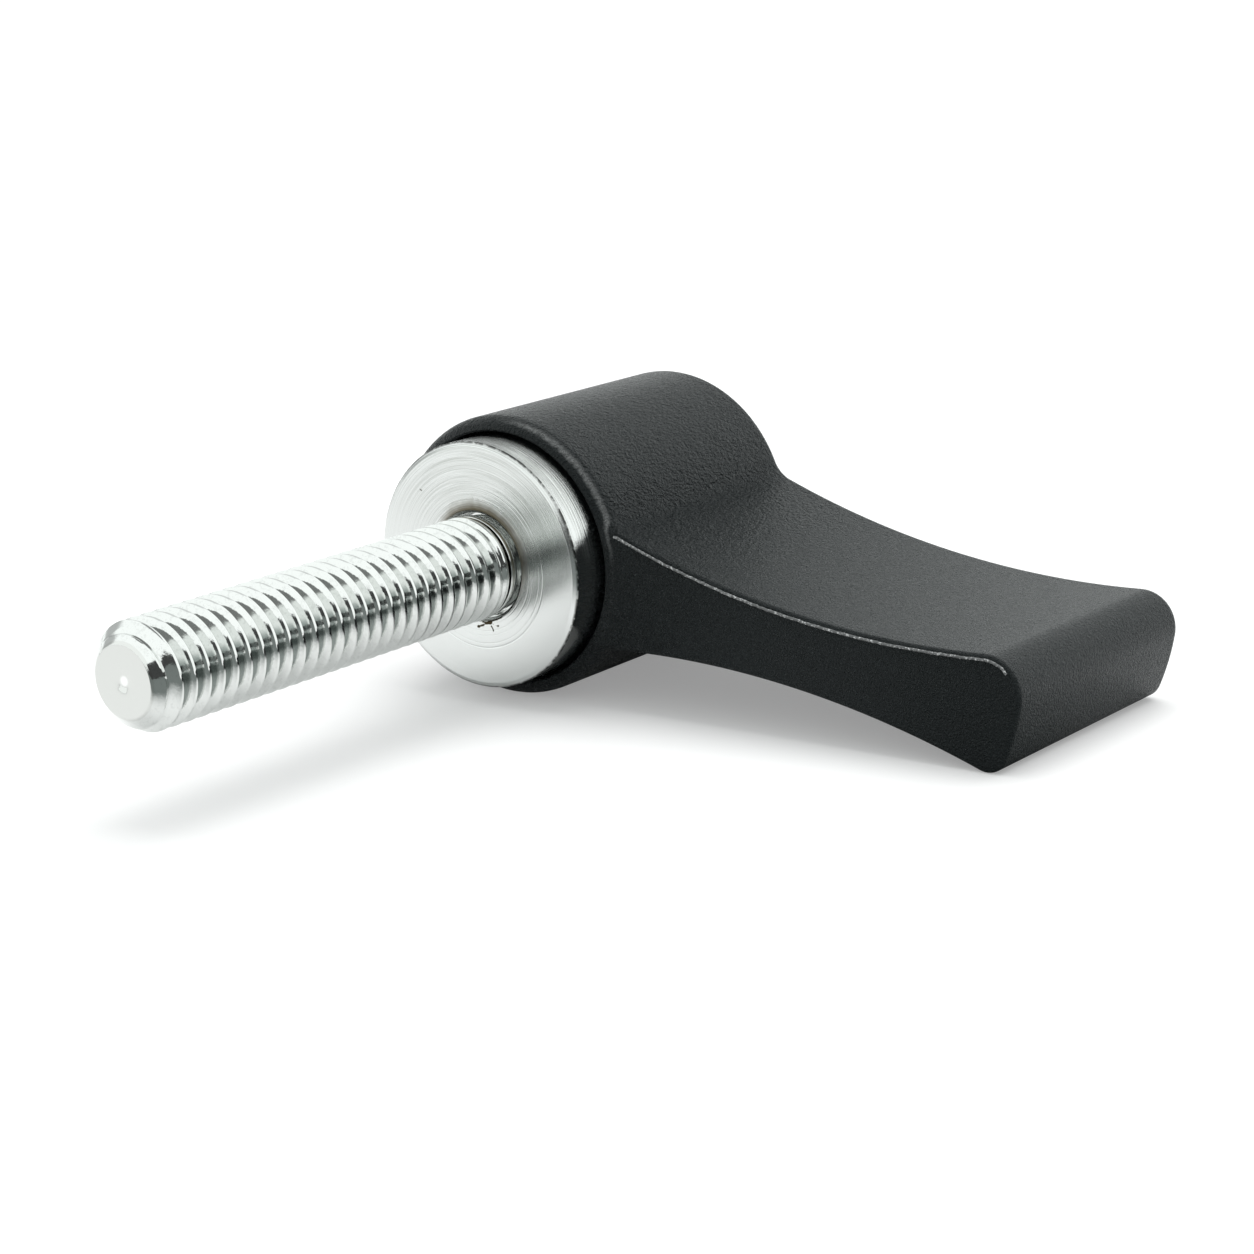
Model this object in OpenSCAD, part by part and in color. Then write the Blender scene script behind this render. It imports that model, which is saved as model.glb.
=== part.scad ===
// Clamping lever with a threaded stud, of the kind that can be pulled out and set to a new angle.
// Y is the axis of the stud and Y = 0 is the clamp face. The stud points to -Y, the arm to +X.
// The lever lies on Z = -hub_d / 2, on its hub and on the foot of its arm's tip.

/* [Stud] */
// Diameter over the crests of the M6 thread, as plated
thread_d = 5.9; // [5.8:0.01:5.98]
// Pitch of the thread
thread_pitch = 1; // [0.75:0.25:1]
// Depth of the thread, from crest to root
thread_depth = 0.6; // [0.35:0.05:0.65]
// Length of the stud in front of the clamp face
stud_len = 27.7; // [12:0.1:60]
// Chamfer on the stud's tip
tip_chamfer = 1; // [0.4:0.1:1.2]
// Plain band behind the chamfer, before the thread starts
tip_land = 0.7; // [0.4:0.1:1.5]
// Diameter of the centre mark in the tip
dimple_d = 1.5; // [0.6:0.1:2]
// Depth of the centre mark in the tip
dimple_depth = 0.25; // [0.1:0.05:0.5]
// Plain band at the inner end of the thread
root_land = 0.6; // [0.4:0.1:1.2]
// Width of the undercut behind the thread
undercut_w = 0.9; // [0.5:0.1:1.5]
// Diameter of the undercut
undercut_d = 4.9; // [4.4:0.1:5.2]
// Height of the stud's shoulder in front of the clamp face
shoulder_out = 0.5; // [0.2:0.1:1]
// Diameter of the shoulder
shoulder_d = 5.8; // [5.4:0.1:5.8]
// Diameter of the relief neck between the shoulder and the shank, inside the collar's mouth
neck_d = 5.4; // [4.8:0.1:5.4]
// Diameter of the shank that is pressed into the insert
shank_d = 6.8; // [6.4:0.1:7.4]

/* [Insert] */
// How far the hub stands out past the collar, all round
collar_step = 1; // [0.95:0.05:1.8]
// Thickness of the collar
collar_h = 3.5; // [2.8:0.1:5]
// Chamfer round the collar's front rim
collar_chamfer = 0.35; // [0.1:0.05:0.6]
// Length of the collar's mouth, the wall that holds the shank back
mouth_len = 0.9; // [0.6:0.1:1.4]
// Chamfer of the mouth
mouth_chamfer = 0.2; // [0.05:0.05:0.4]
// Number of teeth on the insert
tooth_count = 24; // [12:1:36]
// Diameter over the insert's teeth
tooth_d = 10.6; // [9.6:0.1:11.2]
// Depth of a tooth
tooth_depth = 0.55; // [0.3:0.05:0.7]
// Length of the teeth
tooth_len = 3.1; // [2:0.1:4]
// Diameter of the plain pilot behind the teeth
pilot_d = 8.8; // [8:0.1:9.2]
// Length of the pilot
pilot_len = 0.7; // [0.4:0.1:1.5]

/* [Handle] */
// Diameter of the hub
hub_d = 16; // [15.6:0.1:20]
// Length of the hub and width of the arm, along the stud's axis
hub_len = 17; // [16.2:0.1:24]
// How far the collar stands out of the hub
collar_proud = 2.2; // [1:0.1:2.6]
// Wall of the rim round the collar's recess
rim_wall = 0.8; // [0.6:0.05:0.85]
// Taper of the casting towards the rear, in degrees
draft = 0.5; // [0:0.1:1]
// Flat that is left between the recess's chamfer and the hub's rounded front edge
rim_land = 0.05; // [0.05:0.05:0.2]
// Radius of the arm's front edges
front_edge_r = 0.3; // [0.15:0.05:0.3]
// Radius of the rear edges
rear_edge_r = 0.6; // [0.3:0.05:1]
// Chamfer of the recess's and the rear bore's mouth
bore_chamfer = 0.15; // [0.1:0.05:0.25]
// Thickness of the web between the toothed bore and the spring bore
web_t = 1.6; // [1.2:0.1:2.5]

/* [Arm] */
// Reach of the arm from the stud's axis to its tip
arm_reach = 33.7; // [30:0.1:60]
// Lowest place of the dished top, along the arm, measured back from the tip
dish_back = 4.4; // [3:0.1:8]
// Depth of the dished top's lowest place below the stud's axis
dish_drop = 1.7; // [0.5:0.1:3]
// Radius of the dished top
dish_r = 58; // [45:1:80]
// Highest place of the arched underside, along the arm, measured from the stud's axis
arch_x = 10.5; // [9:0.1:14]
// Depth of the arched underside's highest place below the stud's axis
arch_drop = 4.4; // [3.5:0.1:5.5]
// How far the centre of the tip's foot lies back from the tip
foot_back = 2.15; // [1.5:0.05:5]
// Radius of the tip's upper corner
tip_top_r = 2.15; // [1:0.05:2.6]
// Radius of the tip's foot
tip_foot_r = 1.25; // [0.6:0.05:2]
// Radius of the tip's bowed end
tip_bow_r = 14; // [8:1:40]
// Radius of the fillet between the hub and the top of the arm
top_fillet_r = 1.6; // [0.8:0.1:3]
// Radius of the fillet between the hub and the underside of the arm
under_fillet_r = 1.5; // [0.8:0.1:3]

/* [Retaining screw and spring] */
// Diameter of the screw's shoulder, on which the handle slides
slide_d = 5.5; // [5:0.1:5.8]
// Length of the screw's shoulder
slide_len = 8.3; // [7.8:0.1:10]
// Diameter of the screw's thread
screw_d = 4; // [3:0.5:4]
// Length of the screw's thread
screw_len = 4.9; // [3:0.1:5.2]
// Diameter of the screw's head
head_d = 8.2; // [7.8:0.1:8.6]
// Height of the screw's head
head_h = 2.2; // [1.8:0.1:2.6]
// Width across the flats of the drive socket
socket_w = 3; // [2:0.5:4]
// Depth of the drive socket
socket_depth = 1.5; // [1:0.1:1.8]
// Room round the screw's head in the spring bore
head_room = 0.5; // [0.3:0.05:0.8]
// Chamfer of the screw's head
head_chamfer = 0.3; // [0.1:0.05:0.5]
// Wire of the return spring
wire_d = 0.6; // [0.4:0.05:0.65]
// Coils of the return spring, its two end coils included
coils = 5; // [4:0.5:5]
// Clearance between the spring's coils and the screw's shoulder
spring_gap = 0.45; // [0.2:0.05:0.5]

/* [Fits] */
// Running clearance on the radius, handle on the screw's shoulder
slide_gap = 0.05; // [0.02:0.01:0.1]
// Radial clearance between the teeth of the insert and of the handle
tooth_gap = 0.1; // [0.05:0.01:0.15]
// Radial clearance of the relief behind the teeth
relief_gap = 0.15; // [0.15:0.01:0.3]
// Clearance on the radius for pieces that are pressed or screwed together
joint_gap = 0.01; // [0:0.01:0.03]
// Gap between faces that rest on each other and move apart
seat_gap = 0.02; // [0:0.01:0.05]
// Gap between the insert's end and the handle's web
end_gap = 0.2; // [0.1:0.05:0.4]
// Room at the bottom of the stud's tapped hole, past the end of the screw
tap_room = 0.2; // [0.1:0.1:2]
// Clearance on the radius between the stud's shoulder and the collar's mouth
mouth_gap = 0.1; // [0.05:0.01:0.2]

/* [Hidden] */
overlap = 0.01;
past = 1;
round_fn = 96;
facet_error = 0.012;
thread_segments = 24;
wire_segments = 20;
wire_sides = 8;
edge_steps = 2;
dimple_fn = 32;

thread_r = thread_d / 2;
hub_r = hub_d / 2;
crest_w = thread_pitch / 8;
root_w = thread_pitch / 4;

// Places along the axis, from the tip of the stud to the rear of the hub
tip_y = -stud_len;
tip_land_y = tip_y + tip_chamfer;
undercut_y = -shoulder_out - undercut_w;
root_land_y = undercut_y - root_land;
hub_y = collar_proud;
teeth_end_y = collar_h + tooth_len;
insert_end_y = teeth_end_y + pilot_len;
web_y = insert_end_y + end_gap;
spring_y = web_y + web_t;
head_y = insert_end_y + slide_len;
rear_y = hub_y + hub_len;

// Radii that follow from the pieces they fit
collar_r = hub_r - collar_step;
mouth_r = shoulder_d / 2 + mouth_gap;
recess_r = hub_r - rim_wall;
bore_r = head_d / 2 + head_room;
coil_r = slide_d / 2 + spring_gap + wire_d / 2;
rear_inset = hub_len * tan(draft);
hub_edge_r = rim_wall - bore_chamfer - rim_land;

// Turns a shape drawn along +Z so that it lies along +Y from the given place
module along_y(y) {
    translate([0, y, 0]) rotate([-90, 0, 0]) children();
}

// Stations along an arc of the outline: centre, radius, side, angle in degrees, and radius of the front edge there
// The side is -1 on a convex arc, which shrinks when the outline is drawn in, and 1 on a hollow one, which grows
function arc(c, r, side, a0, a1, edge0, edge1) =
    let (n = ceil(abs(a1 - a0) / (2 * acos(1 - facet_error / r))))
    [for (i = [0:n - 1]) let (t = i / n) [c, r, side, a0 + (a1 - a0) * t, edge0 + (edge1 - edge0) * t]];

// A station's point at a place along the axis, with the outline drawn in by the given amount
function station_point(s, y, inset) =
    let (p = s[0] + (s[1] + s[2] * inset) * [cos(s[3]), sin(s[3])]) [p[0], y, p[1]];

// Where two circles cross; side is 1 or -1 and picks one of the two places
function crossing(c0, r0, c1, r1, side) =
    let (d = norm(c1 - c0), u = (c1 - c0) / d, s = (d * d + r0 * r0 - r1 * r1) / (2 * d),
         h = sqrt(r0 * r0 - s * s))
    c0 + s * u + side * h * [-u[1], u[0]];

// Radius of an arch that touches the foot's circle from outside; the foot's centre is given from the arch's crown
function underside_r(along, up, foot_r) = (along * along + up * up - foot_r * foot_r) / (2 * (foot_r - up));

function heading(from, to) = atan2(to[1] - from[1], to[0] - from[0]);
function turn_up(a) = a < 0 ? a + 360 : a;

// Centres of the arcs that make the handle's outline in the X-Z plane
hub_c = [0, 0];
dish_c = [arm_reach - dish_back, dish_r - dish_drop];
foot_c = [arm_reach - foot_back, tip_foot_r - hub_r];
arch_r = underside_r(foot_c[0] - arch_x, foot_c[1] + arch_drop, tip_foot_r);
arch_c = [arch_x, -arch_drop - arch_r];
corner_x = arm_reach - tip_top_r;
corner_drop = sqrt(pow(dish_r + tip_top_r, 2) - pow(corner_x - dish_c[0], 2));
corner_c = [corner_x, dish_c[1] - corner_drop];
bow_c = crossing(foot_c, tip_bow_r - tip_foot_r, corner_c, tip_bow_r - tip_top_r, 1);
top_fillet_c = crossing(hub_c, hub_r + top_fillet_r, dish_c, dish_r - top_fillet_r, -1);
under_fillet_c = crossing(hub_c, hub_r + under_fillet_r, arch_c, arch_r - under_fillet_r, 1);

// Stations round the handle's outline, anticlockwise from the top of the hub's fillet
function outline() = concat(
    arc(hub_c, hub_r, -1, heading(hub_c, top_fillet_c), 360 + heading(hub_c, under_fillet_c),
        hub_edge_r, hub_edge_r),
    arc(under_fillet_c, under_fillet_r, 1, turn_up(heading(under_fillet_c, hub_c)),
        turn_up(heading(arch_c, under_fillet_c)), hub_edge_r, front_edge_r),
    arc(arch_c, arch_r, 1, heading(arch_c, under_fillet_c), heading(arch_c, foot_c), front_edge_r, front_edge_r),
    arc(foot_c, tip_foot_r, -1, heading(foot_c, arch_c), heading(bow_c, foot_c), front_edge_r, front_edge_r),
    arc(bow_c, tip_bow_r, -1, heading(bow_c, foot_c), heading(bow_c, corner_c), front_edge_r, front_edge_r),
    arc(corner_c, tip_top_r, -1, heading(bow_c, corner_c), heading(corner_c, dish_c), front_edge_r, front_edge_r),
    arc(dish_c, dish_r, 1, heading(dish_c, corner_c), heading(dish_c, top_fillet_c), front_edge_r, front_edge_r),
    arc(top_fillet_c, top_fillet_r, 1, heading(dish_c, top_fillet_c), heading(top_fillet_c, hub_c),
        front_edge_r, hub_edge_r));

// A solid through rings of points that all run anticlockwise, seen from -Y
module loft(rings) {
    n = len(rings[0]);
    last = (len(rings) - 1) * n;
    sides = [for (k = [0:len(rings) - 2], i = [0:n - 1]) let (j = (i + 1) % n, a = k * n)
        each [[a + i, a + j, a + n + j], [a + i, a + n + j, a + n + i]]];
    caps = [[for (i = [n - 1:-1:0]) i], [for (i = [0:n - 1]) last + i]];
    polyhedron(points = [for (ring = rings) each ring], faces = concat(sides, caps), convexity = 6);
}

// Lever handle: hub and arm are one casting, with rounded front and rear edges and a slight taper
module handle_body() {
    turns = [for (i = [0:edge_steps]) 90 * i / edge_steps];
    stations = outline();
    front = [for (a = turns)
        [for (s = stations) station_point(s, hub_y + s[4] * (1 - cos(a)), s[4] * (1 - sin(a)))]];
    rear = [for (i = [edge_steps:-1:0]) let (a = turns[i])
        [for (s = stations)
            station_point(s, rear_y - rear_edge_r * (1 - cos(a)), rear_inset + rear_edge_r * (1 - sin(a)))]];
    loft(concat(front, rear));
}

// Toothed outline; the same one cuts the handle's bore, larger by a clearance
module teeth(gap) {
    tip_r = tooth_d / 2 + gap;
    root_r = tooth_d / 2 - tooth_depth + gap;
    polygon([for (i = [0:2 * tooth_count - 1]) let (a = 180 * i / tooth_count, r = i % 2 == 0 ? tip_r : root_r)
        r * [cos(a), sin(a)]]);
}

module lever_handle() {
    relief_r = tooth_d / 2 + relief_gap;
    web_r = slide_d / 2 + slide_gap;
    floor_y = collar_h + seat_gap;
    color("#2a2d2e") difference() {
        handle_body();
        // Recess for the collar, relief behind the teeth, web hole and spring bore, front to rear
        along_y(0) rotate_extrude($fn = round_fn) polygon([
            [0, hub_y - past], [recess_r + bore_chamfer + past, hub_y - past], [recess_r, hub_y + bore_chamfer],
            [recess_r, floor_y], [web_r, floor_y], [web_r, teeth_end_y], [relief_r, teeth_end_y],
            [relief_r, web_y], [web_r, web_y], [web_r, spring_y], [bore_r, spring_y],
            [bore_r, rear_y - bore_chamfer], [bore_r + bore_chamfer + past, rear_y + past], [0, rear_y + past]]);
        along_y(collar_h) linear_extrude(tooth_len + overlap) teeth(tooth_gap);
    }
}

// Collar with its toothed shank, turned and broached from one bar
module collar_insert() {
    color("#c9cbc8") difference() {
        union() {
            along_y(0) rotate_extrude($fn = round_fn) polygon([
                [0, 0], [collar_r - collar_chamfer, 0], [collar_r, collar_chamfer], [collar_r, collar_h],
                [0, collar_h]]);
            along_y(collar_h - overlap) linear_extrude(tooth_len + overlap) teeth(0);
            along_y(teeth_end_y - overlap) cylinder(d = pilot_d, h = pilot_len + overlap, $fn = round_fn);
        }
        along_y(-overlap) cylinder(r = mouth_r, h = mouth_len + 2 * overlap, $fn = round_fn);
        along_y(-overlap)
            cylinder(r1 = mouth_r + mouth_chamfer + overlap, r2 = mouth_r, h = mouth_chamfer + overlap,
                $fn = round_fn);
        along_y(mouth_len)
            cylinder(r = shank_d / 2 + joint_gap, h = insert_end_y - mouth_len + overlap, $fn = round_fn);
    }
}

// Helical thread with its core: rows of points follow the helix and share the crest line of the next turn
module thread(y0, y1) {
    steps = floor((y1 - y0 - thread_pitch) / thread_pitch * thread_segments);
    crest_r = thread_r - overlap;
    root_r = thread_r - thread_depth;
    flank_w = (thread_pitch - crest_w - root_w) / 2;
    // Each entry is the radius and the place along the axis of one point of the profile
    profile = [[crest_r, 0], [crest_r, crest_w], [root_r, crest_w + flank_w],
        [root_r, crest_w + flank_w + root_w]];
    function at(q, m) = let (a = 360 * q / thread_segments, p = profile[m])
        [p[0] * sin(a), y0 + thread_pitch * q / thread_segments + p[1], p[0] * cos(a)];
    crest_count = steps + thread_segments + 1;
    function index(q, m) = m == 4 ? q + thread_segments : m == 0 ? q : crest_count + 3 * q + m - 1;
    first = crest_count + 3 * (steps + 1);
    points = concat(
        [for (q = [0:crest_count - 1]) at(q, 0)],
        [for (q = [0:steps], m = [1:3]) at(q, m)],
        [[0, y0 + thread_pitch / 2, 0], [0, y0 + thread_pitch * (steps / thread_segments + 0.5), 0]]);
    skin = [for (q = [0:steps - 1], m = [0:3])
        each [[index(q, m), index(q + 1, m + 1), index(q + 1, m)],
              [index(q, m), index(q, m + 1), index(q + 1, m + 1)]]];
    start = concat(
        [for (q = [0:thread_segments - 1]) [first, q, q + 1]],
        [for (m = [0:3]) [first, index(0, m + 1), index(0, m)]]);
    end = concat(
        [for (q = [steps:steps + thread_segments - 1]) [first + 1, q + 1, q]],
        [for (m = [0:3]) [first + 1, index(steps, m), index(steps, m + 1)]]);
    polyhedron(points = points, faces = concat(skin, start, end), convexity = 10);
}

// Stud: chamfered tip, thread, undercut and shoulder, and a shank that is pressed into the insert
module threaded_stud() {
    color("#d8dad8") difference() {
        union() {
            along_y(0) rotate_extrude($fn = round_fn) polygon([
                [0, tip_y], [thread_r - tip_chamfer, tip_y], [thread_r, tip_land_y],
                [thread_r, tip_land_y + tip_land], [0, tip_land_y + tip_land]]);
            thread(tip_land_y, undercut_y);
            along_y(0) rotate_extrude($fn = round_fn) polygon([
                [0, root_land_y], [thread_r, root_land_y], [thread_r, undercut_y],
                [undercut_d / 2, undercut_y], [undercut_d / 2, -shoulder_out],
                [shoulder_d / 2, -shoulder_out], [shoulder_d / 2, 0], [neck_d / 2, 0],
                [neck_d / 2, mouth_len], [shank_d / 2, mouth_len], [shank_d / 2, insert_end_y],
                [0, insert_end_y]]);
        }
        along_y(tip_y - overlap)
            cylinder(d1 = dimple_d, d2 = dimple_d / 3, h = dimple_depth + overlap, $fn = dimple_fn);
        along_y(insert_end_y - screw_len - tap_room)
            cylinder(r = screw_d / 2 + joint_gap, h = screw_len + tap_room + overlap, $fn = round_fn);
    }
}

// Return spring: both end coils are closed, the coils between them are spread evenly
module return_spring() {
    y0 = spring_y + seat_gap + wire_d / 2;
    y1 = head_y - seat_gap - wire_d / 2;
    closed_rise = wire_d + seat_gap;
    open_rise = (y1 - y0 - 2 * closed_rise) / (coils - 2);
    function rise(t) = t < 1 ? t * closed_rise
        : t < coils - 1 ? closed_rise + (t - 1) * open_rise
        : y1 - y0 - (coils - t) * closed_rise;
    count = round(coils * wire_segments);
    rings = [for (i = [0:count]) let (t = coils * i / count, a = 360 * t)
        [for (k = [0:wire_sides - 1]) let (b = 360 * k / wire_sides, r = coil_r + wire_d / 2 * cos(b))
            [r * sin(a), y0 + rise(t) + wire_d / 2 * sin(b), r * cos(a)]]];
    color("#9a9c9b") tube(rings);
}

// A solid through rings of points that run round a wire
module tube(rings) {
    n = len(rings[0]);
    last = (len(rings) - 1) * n;
    sides = [for (k = [0:len(rings) - 2], i = [0:n - 1]) let (j = (i + 1) % n, a = k * n)
        each [[a + i, a + n + j, a + j], [a + i, a + n + i, a + n + j]]];
    caps = [[for (i = [0:n - 1]) i], [for (i = [n - 1:-1:0]) last + i]];
    polyhedron(points = [for (ring = rings) each ring], faces = concat(sides, caps), convexity = 10);
}

// Shoulder screw: the handle slides on its shoulder, and its head holds the spring
module retaining_screw() {
    color("#a8aaa9") difference() {
        union() {
            along_y(insert_end_y - screw_len) cylinder(d = screw_d, h = screw_len + overlap, $fn = round_fn);
            along_y(insert_end_y) cylinder(d = slide_d, h = slide_len + overlap, $fn = round_fn);
            along_y(head_y) rotate_extrude($fn = round_fn) polygon([
                [0, 0], [head_d / 2, 0], [head_d / 2, head_h - head_chamfer],
                [head_d / 2 - head_chamfer, head_h], [0, head_h]]);
        }
        along_y(head_y + head_h - socket_depth)
            cylinder(d = socket_w / cos(30), h = socket_depth + overlap, $fn = 6);
    }
}

lever_handle();
collar_insert();
threaded_stud();
return_spring();
retaining_screw();
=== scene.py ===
import math

import bmesh
import bpy
from mathutils import Matrix, Vector


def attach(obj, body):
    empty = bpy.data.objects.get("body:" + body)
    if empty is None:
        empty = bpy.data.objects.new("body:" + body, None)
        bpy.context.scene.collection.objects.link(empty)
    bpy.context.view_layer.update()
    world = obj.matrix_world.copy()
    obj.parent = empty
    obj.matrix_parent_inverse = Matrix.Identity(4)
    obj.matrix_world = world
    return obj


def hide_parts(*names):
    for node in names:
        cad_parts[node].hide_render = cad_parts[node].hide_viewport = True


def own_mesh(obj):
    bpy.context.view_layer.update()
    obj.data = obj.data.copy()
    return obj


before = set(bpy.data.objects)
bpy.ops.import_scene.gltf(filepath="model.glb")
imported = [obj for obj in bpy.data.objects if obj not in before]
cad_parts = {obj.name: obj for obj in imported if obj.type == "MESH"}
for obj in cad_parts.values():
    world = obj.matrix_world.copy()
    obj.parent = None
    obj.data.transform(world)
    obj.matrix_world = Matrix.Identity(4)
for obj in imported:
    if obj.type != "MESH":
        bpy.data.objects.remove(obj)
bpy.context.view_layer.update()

# All sizes below are millimetres, unless their name says otherwise
MM = 0.001

# Stud
CREST_R = 2.95
PITCH = 1.0
THREAD_DEPTH = 0.6
THREAD_PHASE = 0.25
TIP_Y = -27.7
TIP_CHAMFER = 1.0
TIP_ROUND = 0.22
CONE_Y = TIP_Y + 0.2
CONE_R = CREST_R - TIP_CHAMFER + 0.2
DIMPLE_R = 0.85
DIMPLE_DEPTH = 0.13
NIB_HEIGHT = 0.06
SHOULDER_Y = -0.5
UNDERCUT_Y = -0.75
UNDERCUT_R = 2.45
SHOULDER_R = 2.9
NECK_R = 2.7
SHANK_R = 3.4
TAP_R = 2.01
TAP_Y = 2.2
STUD_EDGE = 0.06
STUD_SEGMENTS = 96
ROWS_PER_PITCH = 24
RUN_OUT = 0.5
# Where a flank starts and ends, in shares of half a pitch from the crest, and the share of the soft one
FLANK = (0.17, 0.82)
SOFT_FLANK = (0.06, 0.92)
FLANK_SOFTNESS = 0.22

# Insert
COLLAR_R = 7.0
COLLAR_H = 3.5
BEVEL_W = 0.22
BEVEL_H = 0.15
RIM_EDGE = 0.06
MOUTH_R = 3.0
MOUTH_LEN = 0.9
MOUTH_CHAMFER = 0.2
TOOTH_COUNT = 24
TOOTH_R = 5.3
TOOTH_DEPTH = 0.55
TOOTH_GAP = 0.1
TEETH_END_Y = 6.6
PILOT_R = 4.4
INSERT_END_Y = 7.3
INSERT_EDGE = 0.03
JOINT_GAP = 0.01
# Rings that the turning tool left round the hole: radius, width, and depth as a share of the deepest
TOOL_RINGS = ((3.35, 0.1, 0.5), (3.72, 0.12, 0.8), (3.98, 0.08, 0.5), (4.42, 0.1, 0.7), (4.68, 0.14, 1.2))
RING_DEPTH = 0.45
# Burrs and a pit on the collar's face: from x and z, to x and z, and their width
BURRS = ((-0.17, -3.54, 1.61, -2.74, 0.09), (0.5, -2.75, 0.95, -3.6, 0.07),
         (0.2, -3.2, 1.3, -3.3, 0.08), (-3.88, 3.98, -3.76, 3.92, 0.07))

# Handle
HUB_R = 8.0
HUB_Y = 2.2
REAR_Y = 19.2
RECESS_R = 7.2
HUB_EDGE_R = 1.0
FRONT_EDGE_R = 0.3
REAR_EDGE_R = 0.6
BORE_CHAMFER = 0.15
DRAFT_DEG = 0.5
RELIEF_R = 5.45
WEB_R = 2.8
WEB_Y = 7.5
SPRING_Y = 9.1
SPRING_BORE_R = 4.6
# How far a cutting tool runs past a face, ahead of the teeth, and into what it joins
PAST = 1.0
TOOTH_LEAD = 0.2
OVERLAP = 0.01

# Arm
ARM_REACH = 33.7
DISH_BACK = 4.4
DISH_DROP = 1.7
DISH_R = 58.0
ARCH_X = 10.5
ARCH_DROP = 4.4
FOOT_BACK = 2.15
TIP_TOP_R = 2.15
TIP_FOOT_R = 1.25
TIP_BOW_R = 14.0
TOP_FILLET_R = 1.6
UNDER_FILLET_R = 1.5
# The flash runs on the arm's front edge from here outwards, where the edge is higher than its low line
FLASH_X = 7.9
FLASH_Z = -1.9
FLASH_FALL = 0.05
FLASH_MIDDLE_X = 20
# Its place on the edge's rounding, back from the face and in from the outline, in shares of its radius
FLASH_BACK = 0.012
FLASH_INSET = 0.85

# Retaining screw and spring
SLIDE_R = 2.75
SCREW_R = 2.0
SCREW_LEN = 4.9
HEAD_Y = 15.6
HEAD_R = 4.1
HEAD_H = 2.2
HEAD_CHAMFER = 0.3
SOCKET_W = 3.0
SOCKET_DEPTH = 1.5
WIRE_R = 0.3
COIL_R = 3.5
COILS = 5
SEAT_GAP = 0.02
SCREW_EDGE = 0.08

# Camera, fitted to the photograph
EYE = (125.128, -147.880, 45.405)
FORWARD = (-0.59411, 0.76560, -0.24676)
UP = (-0.11731, 0.22102, 0.96819)
LENS_MM = 102.475
SENSOR_MM = 36.0
FLOOR_Z = -HUB_R
FLOOR_SIZE = 3000

# Colours, linear
COATING = (0.0062, 0.0082, 0.0086)
COATING_HIGH = (0.014, 0.0168, 0.0172)
DUST = (0.22, 0.22, 0.21)
SCUFFED = (0.11, 0.115, 0.115)
# Rubbed coating on the rim's top right, with a painted highlight in it
RUBBED_AND_HIGHLIT = (0.22, 0.225, 0.225)
FLASH_DARK = (0.10, 0.104, 0.105)
# The flash ridge's bright grey: rubbed coating and a painted highlight
FLASH_RUBBED_HIGHLIGHT = (0.6, 0.61, 0.61)
NICKEL = (0.77, 0.785, 0.775)
# Nickel in the tool marks, painted darker as a dark reflection
NICKEL_DARK_REFLECTION = (0.54, 0.555, 0.535)
GRIME = (0.11, 0.085, 0.04)
PIT = (0.12, 0.12, 0.11)
BURR = (0.045, 0.035, 0.02)
NICK = (0.03, 0.03, 0.028)
ZINC = (0.77, 0.785, 0.77)
ZINC_HIGH = (0.70, 0.715, 0.70)
ZINC_PIT = (0.2, 0.2, 0.19)
# Darker zinc for the roots, and painted dark reflection on the lower flanks
ZINC_DARKENED = (0.2, 0.23, 0.22)
TIP_FACE = (0.69, 0.7, 0.68)
# Painted highlight in the centre of the tip's dimple
TIP_HIGHLIGHT = (0.93, 0.94, 0.93)
# Painted shade in the undercut groove
UNDERCUT_SHADE = (0.10, 0.088, 0.066)
LAMP_LIGHT = (0.965, 1.0, 0.99)
WHITE = (1.0, 1.0, 1.0)


# Node trees

def put(tree, kind, inputs=(), **settings):
    """Adds a node, sets its options, and fills its inputs, by number or name, with values or outputs."""
    node = tree.nodes.new(kind)
    for key, value in settings.items():
        setattr(node, key, value)
    for key, value in inputs.items() if isinstance(inputs, dict) else enumerate(inputs):
        if isinstance(value, bpy.types.NodeSocket):
            tree.links.new(value, node.inputs[key])
        elif value is not None:
            node.inputs[key].default_value = value
    return node


def calc(tree, operation, *values):
    return put(tree, "ShaderNodeMath", values, operation=operation).outputs[0]


def product(tree, first, *others):
    for other in others:
        first = calc(tree, "MULTIPLY", first, other)
    return first


def held(tree, value, low, high):
    """Keeps a value between two others."""
    return calc(tree, "MINIMUM", calc(tree, "MAXIMUM", value, low), high)


def dot(tree, x0, z0, x1, z1):
    return calc(tree, "MULTIPLY_ADD", x0, x1, calc(tree, "MULTIPLY", z0, z1))


def combine(tree, x, y, z):
    return put(tree, "ShaderNodeCombineXYZ", [x, y, z]).outputs[0]


def split(tree, vector):
    return put(tree, "ShaderNodeSeparateXYZ", [vector]).outputs


def scale_vector(tree, vector, factor):
    return put(tree, "ShaderNodeVectorMath", {0: vector, "Scale": factor}, operation="SCALE").outputs[0]


def connect(tree, node, **sockets):
    """Links outputs to a node's inputs of the same names, with a space where the name has a low line."""
    for key, value in sockets.items():
        tree.links.new(value, node.inputs[key.replace("_", " ")])


def ramp(tree, value, low, high, start=0.0, end=1.0, smooth=True):
    """Turns a value between low and high into one between start and end, and holds it outside them."""
    node = put(tree, "ShaderNodeMapRange", {"Value": value, "From Min": low, "From Max": high,
                                            "To Min": start, "To Max": end}, clamp=True)
    node.interpolation_type = "SMOOTHSTEP" if smooth else "LINEAR"
    return node.outputs["Result"]


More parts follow.
